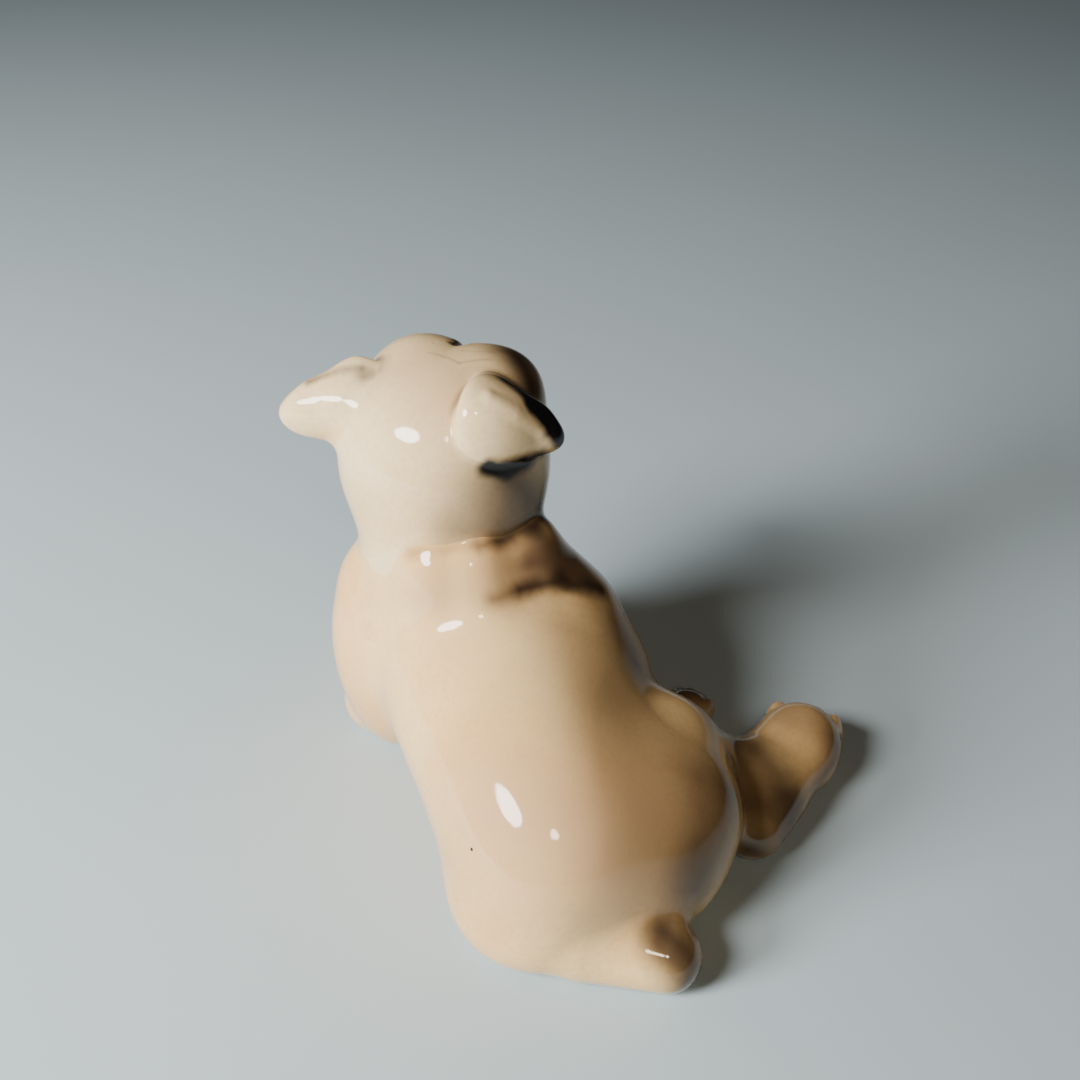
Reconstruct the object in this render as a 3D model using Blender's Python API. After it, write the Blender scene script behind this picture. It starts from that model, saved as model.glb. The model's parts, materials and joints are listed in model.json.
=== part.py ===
"""Slip-cast porcelain figurine of a resting puppy, built as its separate castings.

The potter casts a hollow body and a hollow head, presses the ears, forearms, hind feet
and tail solid, and lutes them together with a layer of slip before firing.  Each casting
and each layer of slip is one object here, with a narrow gap between neighbours.

The puppy looks along -Y, its left side is +X, and it stands on Z = 0.
Shapes are laid down in millimetres as overlapping lumps of clay, then fused and smoothed.
"""

from math import radians

import bmesh
import bpy
from mathutils import Euler, Matrix, Vector

MM = 0.001

# Driving sizes, in millimetres
WALL = 3.4                  # thickness of the hollow castings
GAP = 0.32                  # kept between neighbouring pieces
SLIP = 0.6                  # thickness of a layer of luting slip
VENT_RADIUS = 3.5           # firing vent in the flat seat of the body
VENT_PLACE = Vector((2, 40, 0))
TABLE_SIZE = 260            # anything larger than the figurine
BOX_CENTRE = Vector((-8.37, 1.77, 0))   # middle of the outline, which becomes the origin

# The head is tilted up and turned towards the puppy's right
HEAD_PLACE = Vector((20, -21, 77))
HEAD_TURN = Euler([radians(angle) for angle in (-10, 0, -20)])

# The head and the body meet on a plane through the fold of the neck
NECK_POINT = Vector((17, -12, 60))
NECK_NORMAL = Vector((0.26, -0.33, 0.91)).normalized()

# Each ear runs from its root to its tip; the third vector points to its upper edge
EARS = {
    "left_ear": (Vector((34, -18, 86)), Vector((53.5, -18, 84.5)), Vector((0, -2, 17))),
    "right_ear": (Vector((11, -7.5, 90.5)), Vector((-5, -12, 84)), Vector((-4.4, -9.2, 12.9))),
}


def egg(centre, radii, turn=(0, 0, 0)):
    """One ellipsoid lump: the matrix that shapes a unit ball into it."""
    spin = Euler([radians(angle) for angle in turn]).to_matrix().to_4x4()
    return [Matrix.Translation(centre) @ spin @ Matrix.Diagonal((*radii, 1))]


def limb(start, end, start_radius, end_radius, balls=9):
    """A tapering limb: a close row of balls from start to end."""
    start, end = Vector(start), Vector(end)
    row = []
    for i in range(balls):
        t = i / (balls - 1)
        radius = start_radius + (end_radius - start_radius) * t
        row += egg(start.lerp(end, t), (radius, radius, radius))
    return row


def paw(place, radii, heading):
    """A paw with four toes across its front, which points along the heading, from -Y."""
    turn = Euler((0, 0, radians(heading)))
    lumps = egg(place, radii, (0, 0, heading))
    width, length, height = radii
    for across in (-0.66, -0.23, 0.23, 0.66):
        ahead = 0.72 - 0.28 * abs(across)
        toe = Vector((across * width, -ahead * length, -0.12 * height))
        toe.rotate(turn)
        lumps += egg(Vector(place) + toe, (0.3 * width, 0.44 * length, 0.72 * height), (0, 0, heading))
    return lumps


def body_lumps():
    """Chest, back, rump, shoulders, right haunch and the roll of skin at the neck."""
    return [
        *egg((18, -16, 27), (23, 22, 29)),                   # chest
        *egg((15, 5, 35), (22, 20, 21), (30, 0, 0)),         # withers
        *egg((-1, 0, 25), (22.5, 21, 23)),                   # ribs, rolled to the right
        *egg((8, 12, 30), (21, 24, 21), (27, 0, 8)),         # back
        *egg((4, 22, 27), (22, 25, 21), (27, 0, 12)),        # loin
        *egg((-1, 30, 23), (22.5, 25, 21), (15, 0, 6)),      # croup
        *egg((-4, 36, 19), (23.5, 25, 20.5), (8, 0, 0)),     # rump
        *egg((0, 40, 8), (18, 18, 12)),                      # seat
        *limb((32, -13, 49), (18, -1.5, 57.5), 8.5, 9.5),    # neck roll, left part
        *limb((18, -1.5, 57.5), (5.5, -10, 60), 9.5, 9),     # neck roll, right part
        *limb((5.5, -10, 60), (3, -21, 54), 9, 8),           # neck roll, down the right side
        *limb((19, -14, 50), (20, -17, 64), 19.5, 20),       # stub of the neck
        *egg((35, -13, 26), (11.5, 15, 25), (0, 6, 0)),      # left shoulder
        *egg((0, -17, 25), (11, 14.5, 24), (0, -6, 0)),      # right shoulder
        *egg((-24, 21, 15.5), (19.5, 24, 17.5), (0, 0, 8)),  # right haunch
        *egg((-20, 38, 10), (14, 12, 10)),                   # back of the haunch
        *egg((-29, 9, 20), (9.5, 8.5, 9.5)),                 # right knee
    ]


def head_lumps():
    """Skull, jowls, muzzle, brows, flews, chin and nose in the head's own frame, and the neck."""
    lumps = [
        *egg((0, 0, 1), (22, 20, 17.5)),         # skull
        *egg((0, 3, -8), (20, 15, 15)),          # jowls and nape
        *egg((0, -15, -5), (13, 9, 9)),          # muzzle
        *egg((0, -18, -12), (7, 5, 4.5)),        # chin
        *egg((0, -23.5, -2.5), (4, 3, 3)),       # nose
    ]
    for side in (-1, 1):
        lumps += egg((side * 8.5, -11, 8.5), (7.5, 7.5, 7.5))    # brow
        lumps += egg((side * 6, -20, -8), (7.5, 6, 7))           # flew
    placed = Matrix.Translation(HEAD_PLACE) @ HEAD_TURN.to_matrix().to_4x4()
    return [placed @ lump for lump in lumps] + limb((19, -14, 54), (20, -20, 67), 19.5, 20)


def ear_lumps(root, tip, upper):
    """A drop ear: a leaf, thick and broad at its root on the skull, with a rounded tip."""
    along = (tip - root).normalized()
    across = (upper - along * upper.dot(along)).normalized()
    frame = Matrix((along, across, along.cross(across))).transposed().to_4x4()
    length = (tip - root).length
    leaf = [
        *egg((3, 0, 0), (8, 9, 4.2)),
        *egg((9.5, 0, 0), (8, 6.8, 3)),
        *egg((length - 4.5, -1, 0), (4.8, 4, 2.6)),
    ]
    return [Matrix.Translation(root) @ frame @ lump for lump in leaf]


def forearm_lumps(elbow, wrist, paw_place, heading):
    return limb(elbow, wrist, 7.5, 6.5) + paw(paw_place, (8, 10, 6.5), heading)


def right_hind_foot_lumps():
    hock = limb((-34, 17, 7.5), (-46, 23, 6.5), 7.5, 6.5)
    return hock + limb((-46, 23, 6.3), (-57, 3, 7), 6.5, 6.3) + paw((-60, -2, 8), (9, 10.5, 8.3), -20)


def left_hind_foot_lumps():
    return limb((-14, 2, 7), (-32, -9, 5.5), 9, 5.5) + paw((-37, -13, 5), (6.5, 8, 5.5), -35)


def tail_lumps():
    return limb((-10, 51, 6.5), (-23, 55, 6), 8.5, 7)


SOLID_CASTINGS = {
    "left_forearm": forearm_lumps((39, -17, 7), (35, -42, 6), (34, -47.5, 6), 4),
    "right_forearm": forearm_lumps((-2, -18, 7), (2, -42, 6), (3, -47.5, 6), -4),
    "left_hind_foot": left_hind_foot_lumps(),
    "right_hind_foot": right_hind_foot_lumps(),
    "tail": tail_lumps(),
}


def hollow_lumps(lumps):
    """The hollow inside a casting: its larger lumps, each smaller by the wall."""
    inside = []
    for lump in lumps:
        radii = lump.to_scale()
        if min(radii) > 2 * WALL:
            inside.append(lump @ Matrix.Diagonal([*((r - WALL) / r for r in radii), 1]))
    return inside


def fused(name, lumps, voxel, passes, faces):
    """A mesh of the lumps fused into one skin, sponged smooth and thinned to about this many faces."""
    clay = bmesh.new()
    for lump in lumps:
        bmesh.ops.create_icosphere(clay, subdivisions=3, radius=1, matrix=Matrix.Scale(MM, 4) @ lump)
    mesh = bpy.data.meshes.new(name)
    clay.to_mesh(mesh)
    clay.free()
    holder = bpy.data.objects.new(name, mesh)
    bpy.context.scene.collection.objects.link(holder)
    remesh = holder.modifiers.new("fuse", "REMESH")
    remesh.mode = "VOXEL"
    remesh.voxel_size = voxel * MM
    sponge = holder.modifiers.new("sponge", "SMOOTH")
    sponge.factor = 0.5
    sponge.iterations = passes
    dense = bpy.data.meshes.new_from_object(holder.evaluated_get(bpy.context.evaluated_depsgraph_get()))
    triangles = 2 * len(dense.polygons)
    thin = holder.modifiers.new("thin", "DECIMATE")
    thin.ratio = min(1, faces / triangles)
    skin = bpy.data.meshes.new_from_object(holder.evaluated_get(bpy.context.evaluated_depsgraph_get()))
    skin.name = name
    bpy.data.objects.remove(holder)
    bpy.data.meshes.remove(mesh)
    bpy.data.meshes.remove(dense)
    return skin


def piece(name, mesh, material):
    """A casting or a layer of slip: one named object with its own material."""
    made = bpy.data.objects.new(name, mesh)
    bpy.context.scene.collection.objects.link(made)
    mesh.materials.clear()
    mesh.materials.append(material)
    mesh.shade_smooth()
    made.parent = bpy.data.objects["figurine"]
    return made


def tool(name, mesh, swell=0):
    """A helper that only cuts, swollen along its normals by this many millimetres."""
    helper = bpy.data.objects.new(name, mesh)
    bpy.context.scene.collection.objects.link(helper)
    helper.hide_render = True
    helper.display_type = "WIRE"
    helper.parent = bpy.data.objects["figurine"]
    if swell:
        skin = helper.modifiers.new("swell", "DISPLACE")
        skin.strength = swell * MM
        skin.mid_level = 0
    return helper


def carve(target, *helpers, keep_inside=False):
    """Cut the helpers out of the target, or keep only what lies inside them."""
    for helper in helpers:
        boolean = target.modifiers.new(helper.name, "BOOLEAN")
        boolean.operation = "INTERSECT" if keep_inside else "DIFFERENCE"
        boolean.solver = "EXACT"
        boolean.object = helper


def half_space(name, point, normal):
    """A large cube whose one face passes through the point, with the cube on the normal's side."""
    cube = bmesh.new()
    bmesh.ops.create_cube(cube, size=TABLE_SIZE * MM)
    turn = normal.to_track_quat("Z", "Y").to_matrix().to_4x4()
    middle = (point + normal * TABLE_SIZE / 2) * MM
    bmesh.ops.transform(cube, matrix=Matrix.Translation(middle) @ turn, verts=cube.verts)
    mesh = bpy.data.meshes.new(name)
    cube.to_mesh(mesh)
    cube.free()
    return tool(name, mesh)


def vent_drill():
    drill = bmesh.new()
    bmesh.ops.create_cone(
        drill, cap_ends=True, segments=24, depth=6 * WALL * MM,
        radius1=VENT_RADIUS * MM, radius2=VENT_RADIUS * MM,
        matrix=Matrix.Translation(VENT_PLACE * MM),
    )
    mesh = bpy.data.meshes.new("vent_drill")
    drill.to_mesh(mesh)
    drill.free()
    return tool("vent_drill", mesh)


def fired_clay(name, colour, roughness):
    material = bpy.data.materials.new(name)
    material.use_nodes = True
    shader = material.node_tree.nodes["Principled BSDF"]
    shader.inputs["Base Color"].default_value = (*colour, 1)
    shader.inputs["Roughness"].default_value = roughness
    shader.inputs["Metallic"].default_value = 0
    return material


def hollow_castings(fawn, cream, biscuit, table):
    """Body and head, which meet at the neck across a ring of slip; returns their outer forms."""
    down = -NECK_NORMAL
    above_body = half_space("above_body", NECK_POINT, NECK_NORMAL)
    below_slip = half_space("below_slip", NECK_POINT + NECK_NORMAL * GAP, down)
    above_slip = half_space("above_slip", NECK_POINT + NECK_NORMAL * (GAP + SLIP), NECK_NORMAL)
    below_head = half_space("below_head", NECK_POINT + NECK_NORMAL * (2 * GAP + SLIP), down)
    under_floor = half_space("under_floor", Vector((0, 0, WALL)), Vector((0, 0, -1)))

    body_form = fused("body_form", body_lumps(), voxel=1.8, passes=22, faces=2900)
    hollow = tool("body_hollow", fused("body_hollow", hollow_lumps(body_lumps()), 2.4, 14, 900))
    carve(hollow, under_floor)
    body = piece("body_casting", body_form.copy(), fawn)
    carve(body, hollow, above_body, table, vent_drill())

    head_form = fused("head_form", head_lumps(), voxel=1.2, passes=9, faces=2000)
    chamber = tool("head_hollow", fused("head_hollow", hollow_lumps(head_lumps()), 2.0, 8, 600))
    head = piece("head_casting", head_form.copy(), cream)
    carve(head, chamber, below_head)

    ring = piece("neck_slip_ring", body_form.copy(), biscuit)
    carve(ring, hollow, below_slip, above_slip)
    return body_form, head_form


def luted(name, slip_name, lumps, voxel, faces, seat, materials, table):
    """A pressed casting and its layer of slip, both shaped to the form that they sit on."""
    glaze, biscuit = materials
    shape = fused(name, lumps, voxel, passes=4, faces=faces)
    near, middle, far = seat
    casting = piece(name, shape, glaze)
    carve(casting, far, table)
    slip = piece(slip_name, shape.copy(), biscuit)
    carve(slip, middle, keep_inside=True)
    carve(slip, near, table)


def seats(name, form):
    """Three skins over a form: where slip begins, where it ends, and where the casting begins."""
    return [tool(f"{name}_seat_{i}", form.copy(), swell) for i, swell in
            enumerate((GAP, GAP + SLIP, 2 * GAP + SLIP))]


def build():
    for old in list(bpy.data.objects):
        bpy.data.objects.remove(old)
    stand = bpy.data.objects.new("figurine", None)
    bpy.context.scene.collection.objects.link(stand)
    stand.location = -BOX_CENTRE * MM

    fawn = fired_clay("fawn_glaze", (0.79, 0.62, 0.46), 0.12)
    cream = fired_clay("cream_glaze", (0.82, 0.71, 0.58), 0.12)
    biscuit = fired_clay("biscuit", (0.86, 0.84, 0.79), 0.75)
    table = half_space("table", Vector((0, 0, 0)), Vector((0, 0, -1)))

    body_form, head_form = hollow_castings(fawn, cream, biscuit, table)
    on_head = seats("head", head_form)
    on_body = seats("body", body_form)
    for name, (root, tip, upper) in EARS.items():
        luted(name, f"{name}_slip", ear_lumps(root, tip, upper), 0.8, 420, on_head, (cream, biscuit), table)
    for name, lumps in SOLID_CASTINGS.items():
        luted(name, f"{name}_slip", lumps, 0.9, 640, on_body, (fawn, biscuit), table)


build()
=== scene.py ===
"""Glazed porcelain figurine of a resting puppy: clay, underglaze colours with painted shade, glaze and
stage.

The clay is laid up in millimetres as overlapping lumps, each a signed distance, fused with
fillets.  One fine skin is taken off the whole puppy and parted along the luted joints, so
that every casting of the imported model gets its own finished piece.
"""

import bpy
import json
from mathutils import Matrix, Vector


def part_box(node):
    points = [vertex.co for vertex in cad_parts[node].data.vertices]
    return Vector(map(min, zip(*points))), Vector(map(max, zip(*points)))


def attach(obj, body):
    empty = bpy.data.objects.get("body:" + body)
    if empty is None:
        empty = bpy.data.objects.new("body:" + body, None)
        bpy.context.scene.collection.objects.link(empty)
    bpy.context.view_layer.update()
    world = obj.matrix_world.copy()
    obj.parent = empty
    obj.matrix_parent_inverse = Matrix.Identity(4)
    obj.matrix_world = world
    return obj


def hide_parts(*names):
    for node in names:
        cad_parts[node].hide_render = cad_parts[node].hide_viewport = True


bl_info = {
    "name": "Glazed Porcelain Puppy",
    "version": (1, 0, 0),
    "blender": (4, 5, 0),
    "location": "View3D > Sidebar > Puppy",
    "description": "Models and glazes a slip-cast porcelain puppy around its packed castings",
    "category": "Add Mesh",
}

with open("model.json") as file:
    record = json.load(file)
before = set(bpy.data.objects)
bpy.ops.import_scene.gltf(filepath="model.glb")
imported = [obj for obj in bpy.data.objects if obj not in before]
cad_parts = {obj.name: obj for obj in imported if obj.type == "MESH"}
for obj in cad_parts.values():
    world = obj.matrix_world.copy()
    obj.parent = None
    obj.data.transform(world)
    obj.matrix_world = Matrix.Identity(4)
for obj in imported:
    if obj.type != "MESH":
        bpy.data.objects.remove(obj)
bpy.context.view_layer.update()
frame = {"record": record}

import functools
import json
from math import radians

import bpy
import numpy as np
from bpy.props import FloatProperty, FloatVectorProperty, PointerProperty
from mathutils import Vector

MM = 0.001

# The modelling millimetres are tied to the frame by the middle of the flat seat
SEAT_MARK = np.array([2.0, 49.0, 0.0])
SEAT_FACE = next(mount for mount in frame["record"]["mounts"] if mount["name"] == "seat_face")
ORIGIN = SEAT_MARK - np.array(SEAT_FACE["pos_m"]) / MM

# The head's own frame: its middle, tilted up and turned towards the puppy's right
HEAD_PLACE = (20, -21, 77)
HEAD_TURN = (-10, 0, -20)

FINE_CELL = 0.6             # millimetres between the points of the finished skin
SEAT_HEIGHT = 3.0           # the glaze is wiped back and unsprayed up to about here

FIT = 0.016                 # metres that a finished casting's corners may stray from its node's
GLAZE_IOR = 1.48
GLAZE_ROUGHNESS = 0.02
COAT = 0.2                  # the clear coat's weight, and its own roughness
COAT_ROUGHNESS = 0.03
RIPPLE = 0.35               # strength and depth, in metres, of the glaze's waviness
RIPPLE_DEPTH = 0.0012

FLOOR_HALF = 3.0            # half the side of the floor, in metres
# Lights, in metres from the modelling centre: place, aim, width and depth, colour
WINDOW = ((0.41, 0.30, 0.46), (0.20, -0.15, 0), (0.28, 0.17), (1.0, 0.98, 0.95))
PANEL = ((0.66, 0.36, 0.32), (0, 0, 0.04), (0.30, 0.24), (0.97, 0.99, 1.0))
LAMP = ((0, 0.46, 0.53), (0, 0, 0), (0.085, 0.085), (1.0, 0.80, 0.60))


# ---------------------------------------------------------------- clay, as signed distances

def spin(turn):
    """The matrix that turns by these degrees about X, then Y, then Z."""
    a, b, c = np.radians(turn)
    about_x = np.array([[1, 0, 0], [0, np.cos(a), -np.sin(a)], [0, np.sin(a), np.cos(a)]])
    about_y = np.array([[np.cos(b), 0, np.sin(b)], [0, 1, 0], [-np.sin(b), 0, np.cos(b)]])
    about_z = np.array([[np.cos(c), -np.sin(c), 0], [np.sin(c), np.cos(c), 0], [0, 0, 1]])
    return about_z @ about_y @ about_x


def length(v):
    return np.sqrt((v * v).sum(-1))


def egg(p, centre, radii, turn=(0, 0, 0)):
    """Distance to an ellipsoid lump."""
    q = (p - np.array(centre, p.dtype)) @ spin(turn).astype(p.dtype)
    r = np.array(radii, p.dtype)
    near = length(q / r)
    return near * (near - 1) / (length(q / (r * r)) + 1e-9)


def limb(p, start, end, start_radius, end_radius):
    """Distance to a tapering limb with round ends."""
    start, end = np.array(start, p.dtype), np.array(end, p.dtype)
    run = end - start
    along = np.clip(((p - start) @ run) / (run @ run), 0, 1)
    radius = start_radius + (end_radius - start_radius) * along
    return length(p - start - along[..., None] * run) - radius


def string(p, points, radius):
    """Distance to a string of even thickness through the points."""
    pairs = zip(points, points[1:])
    return functools.reduce(np.minimum, [limb(p, a, b, radius, radius) for a, b in pairs])


def join(a, b, fillet):
    h = np.clip(0.5 + 0.5 * (b - a) / fillet, 0, 1)
    return b * (1 - h) + a * h - fillet * h * (1 - h)


def carve(a, b, fillet):
    """Clay a with b cut out of it, the edge eased by the fillet."""
    return -join(-a, b, fillet)


def heap(p, lumps):
    """Lumps joined in order; each is (centre, radii, turn, fillet)."""
    shape = None
    for centre, radii, turn, fillet in lumps:
        lump = egg(p, centre, radii, turn)
        shape = lump if shape is None else join(shape, lump, fillet)
    return shape


TRUNK = (
    ((18, -16, 27), (23, 22, 29), (0, 0, 0), 0),           # chest
    ((12, 4, 35.5), (21, 18, 20.5), (30, 0, 0), 12),       # withers
    ((-2, -2, 25), (22.5, 22, 23), (0, 0, 0), 12),         # ribs, rolled to the right
    ((4, 20, 26), (21.5, 24, 20.5), (27, 0, 12), 14),      # loin
    ((-3, 36, 20), (22, 22.5, 21.5), (8, 0, 0), 10),       # rump
    ((0, 40, 8), (18, 18, 12), (0, 0, 0), 8),              # seat
    ((35, -13, 26), (11, 15, 25), (0, 6, 0), 9),           # left shoulder
    ((-1, -19, 26), (12.5, 14, 21.5), (0, -6, 0), 8),      # right shoulder
)
# Lengths of the neck roll: ends, their radii, and the fillet to the length before
NECK_ROLL = (
    ((32, -13, 49), (20, -2.5, 57), 8.5, 9.5, 0),
    ((20, -2.5, 57), (14, -2, 57.5), 9.5, 9.5, 1),
    ((14, -2, 57.5), (5, -7.5, 56), 9.5, 9.3, 1),
    ((5, -9, 56.5), (-5.5, -8, 42), 9.2, 9.5, 3),
)
HAUNCH = (
    ((-23, 25, 15), (19, 21, 17.5), (0, 0, 8), 0),
    ((-20, 38, 10), (14, 12, 10), (0, 0, 0), 8),
)
SKULL = (
    ((0, 0, 1), (22, 20, 17.5), (0, 0, 0), 0),
    ((0, 3, -8), (20, 15, 15), (0, 0, 0), 8),              # jowls and nape
    ((0, -15, -5), (13, 9, 9), (0, 0, 0), 5),              # muzzle
)
# Root, tip, upward direction, side, and how blunt the tip is
EARS = {
    "left_ear": ((34, -18, 85.5), (53.5, -18, 84.5), (0, -2, 17), 1, 1.0),
    "right_ear": ((11.5, -6.8, 90.2), (-5.5, -11.5, 83.5), (-4.4, -9.2, 12.9), -1, 0.6),
}


def trunk(p):
    """Body casting: trunk, neck roll and right haunch with its shank."""
    roll = limb(p, *NECK_ROLL[0][:4])
    for *ends, fillet in NECK_ROLL[1:]:
        roll = join(roll, limb(p, *ends), fillet)
    stub = limb(p, (19, -14, 50), (20, -17, 60), 18, 18)
    shape = join(heap(p, TRUNK), roll, 8)
    shape = join(shape, stub, 4)
    shape = join(shape, heap(p, HAUNCH), 13)
    knee = egg(p, (-27.5, 10.5, 19.5), (10, 9.5, 10))
    knee = join(knee, limb(p, (-31, 8, 14), (-47, 12, 7.5), 9, 7.5), 5)
    return join(shape, knee, 7)


def in_head(p):
    return (p - np.array(HEAD_PLACE, p.dtype)) @ spin(HEAD_TURN).astype(p.dtype)


def head(p):
    """Head casting with its neck, brows, flews, nose, eyes, folds and mouth."""
    q = in_head(p)
    mirrored = q.copy()
    mirrored[..., 0] = np.abs(q[..., 0])
    shape = heap(q, SKULL)
    shape = join(shape, egg(mirrored, (8.5, -10, 8), (8.8, 8.5, 7)), 7)             # brows
    shape = join(shape, egg(mirrored, (6, -20, -8), (7.5, 6, 7)), 3)               # flews
    shape = join(shape, egg(q, (0, -18.5, -12.5), (6.5, 5, 4.5)), 2.5)             # chin
    shape = join(shape, limb(p, (19, -14, 54), (20, -20, 67), 19, 20), 6)          # neck
    socket = egg(mirrored, (9.6, -19.5, 1.2), (4.3, 4.2, 3.9))
    shape = carve(shape, socket, 2)
    shape = join(shape, egg(mirrored, (9.4, -17.4, 1.2), (3.8, 3.9, 3.6)), 0.4)    # eyes
    shape = join(shape, egg(q, (0, -23.8, -2.4), (3.7, 2.8, 2.7)), 1)              # nose
    shape = carve(shape, egg(mirrored, (1.6, -26.6, -2.7), (0.9, 1.2, 0.8)), 0.5)
    fold = ((0, -24.6, 1.4), (3.4, -23.2, 2.2), (6.2, -21.6, -0.6), (9.5, -19, -3.6))
    fold = string(mirrored, fold, 0.5)
    shape = carve(shape, fold, 1.6)
    furrow = string(q, ((0, -20.6, 5.5), (0, -17.4, 10.5), (0.4, -12, 14.6)), 0.7)
    shape = carve(shape, furrow, 2.4)
    brow_line = string(mirrored, ((2.2, -19.8, 8), (6.5, -18.4, 10.6), (11.5, -14.4, 10.6)), 0.4)
    shape = carve(shape, brow_line, 1.6)
    lip = ((0, -26, -5.6), (0, -25.6, -10.4), (4, -24.4, -13.2), (9.6, -19.4, -12.6))
    return carve(shape, string(mirrored, lip, 0.35), 1.1)


def ear(p, root, tip, upper, side, bluntness):
    """A drop ear: a leaf, broad at its root, folded forward along its upper edge."""
    root, tip, upper = (np.array(v, float) for v in (root, tip, upper))
    reach = np.linalg.norm(tip - root)
    along = (tip - root) / reach
    across = upper - along * (upper @ along)
    across /= np.linalg.norm(across)
    back = -side * np.cross(along, across)
    q = (p - root.astype(p.dtype)) @ np.stack([along, across, back], 1).astype(p.dtype)
    droop = 2.2 * (np.clip(q[..., 0], 0, None) / reach) ** 2
    cup = 0.02 * q[..., 1] ** 2 + 0.05 * np.clip(q[..., 1] - 1, 0, None) ** 2
    q[..., 2] += droop + cup
    leaf = heap(q, (
        ((3, 0, -0.5), (8, 9.5, 4), (0, 0, 0), 0),
        ((9.5, 0, 0), (8, 5.6 + 1.2 * bluntness, 2.5), (0, 0, 0), 3),
        ((reach - 4.4 * bluntness, -1, 0), (4.6 * bluntness, 3.8 * bluntness, 2.0), (0, 0, 0), 3),
    ))
    return carve(leaf, egg(q, (8, -0.5, -4.2), (7.5, 5, 3)), 1.2)


def right_ear(p):
    """The right ear with a crisp fold where its leading edge is turned down."""
    fold = string(p, ((10, -8.2, 93.6), (5, -7.9, 90.4), (0.3, -9.4, 86.2)), 1.2)
    return join(ear(p, *EARS["right_ear"]), fold, 1.6)


def paw(p, place, radii, heading):
    """A paw with four toes across its front, which points along the heading, from -Y."""
    width, deep, height = radii
    turn = spin((0, 0, heading))
    shape = egg(p, place, radii, (0, 0, heading))
    for across in (-0.66, -0.23, 0.23, 0.66):
        ahead = 0.72 - 0.28 * abs(across)
        toe = turn @ np.array([across * width, -ahead * deep, -0.12 * height])
        toe_radii = (0.3 * width, 0.44 * deep, 0.72 * height)
        shape = join(shape, egg(p, np.array(place) + toe, toe_radii, (0, 0, heading)), 0.9)
    return shape


def forearm(p, elbow, wrist, paw_place, heading):
    return join(limb(p, elbow, wrist, 7.3, 6.3), paw(p, paw_place, (8, 10, 6.5), heading), 3)


def right_hind_foot(p):
    shape = limb(p, (-45.5, 22.5, 6.8), (-57, 4, 7.5), 7, 8)
    shape = join(shape, egg(p, (-48, 10, 8), (8, 12, 8)), 5)
    return join(shape, paw(p, (-59, -1.5, 8), (9.5, 9.5, 8.5), -20), 5)


def left_hind_foot(p):
    return join(limb(p, (-14, 2, 7), (-30, -10, 5.5), 9, 5.5), paw(p, (-34, -14, 5), (6, 7, 5), -35), 3)


def tail(p):
    return limb(p, (-10, 51, 6.5), (-24.5, 55, 6.2), 8.5, 7)


# Every casting: its clay, and the fillet where it is luted on
CASTINGS = {
    "body": (trunk, 0),
    "left_forearm": (lambda p: forearm(p, (39, -17, 7), (35, -42, 6), (34, -47.5, 6), 4), 6),
    "right_forearm": (lambda p: forearm(p, (-2, -18, 7), (2, -42, 6), (3, -47.5, 6), -4), 6),
    "left_hind_foot": (left_hind_foot, 3),
    "right_hind_foot": (right_hind_foot, 4),
    "tail": (tail, 4),
    "head": (head, 1.5),
    "left_ear": (lambda p: ear(p, *EARS["left_ear"]), 3),
    "right_ear": (right_ear, 1.3),
}


def puppy(p):
    """Distance to the whole puppy, and to each casting on its own."""
    parts = {name: clay(p) for name, (clay, fillet) in CASTINGS.items()}
    shape = parts["body"]
    for name, (clay, fillet) in CASTINGS.items():
        if fillet:
            shape = join(shape, parts[name], fillet)
    floor = -p[..., 2]
    return -join(-shape, -floor, 0.8), parts


# ---------------------------------------------------------------- skin

def grid_axes(cell):
    boxes = [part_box(part["node"]) for part in frame["record"]["subparts"]]
    low = np.min([tuple(box[0]) for box in boxes], axis=0) / MM + ORIGIN - 5
    high = np.max([tuple(box[1]) for box in boxes], axis=0) / MM + ORIGIN + 5
    low[2] = -1.63
    return [np.arange(a, b, cell, dtype=np.float32) for a, b in zip(low, high)]


def distances(axes, cell):
    """Distances on the grid: coarse everywhere, fine only near the surface."""
    step = 4
    coarse_axes = [axis[::step] + np.float32(cell * (step - 1) / 2) for axis in axes]
    coarse = puppy(np.stack(np.meshgrid(*coarse_axes, indexing="ij"), -1))[0]
    values = coarse
    for n, axis in enumerate(axes):
        values = np.repeat(values, step, axis=n).take(range(len(axis)), axis=n)
    near = np.argwhere(np.abs(values) < 2.2 * step * cell)
    for some in np.array_split(near, max(1, len(near) // 400_000)):
        p = np.stack([axes[n][some[:, n]] for n in range(3)], -1)
        values[tuple(some.T)] = puppy(p)[0]
    return values


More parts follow.
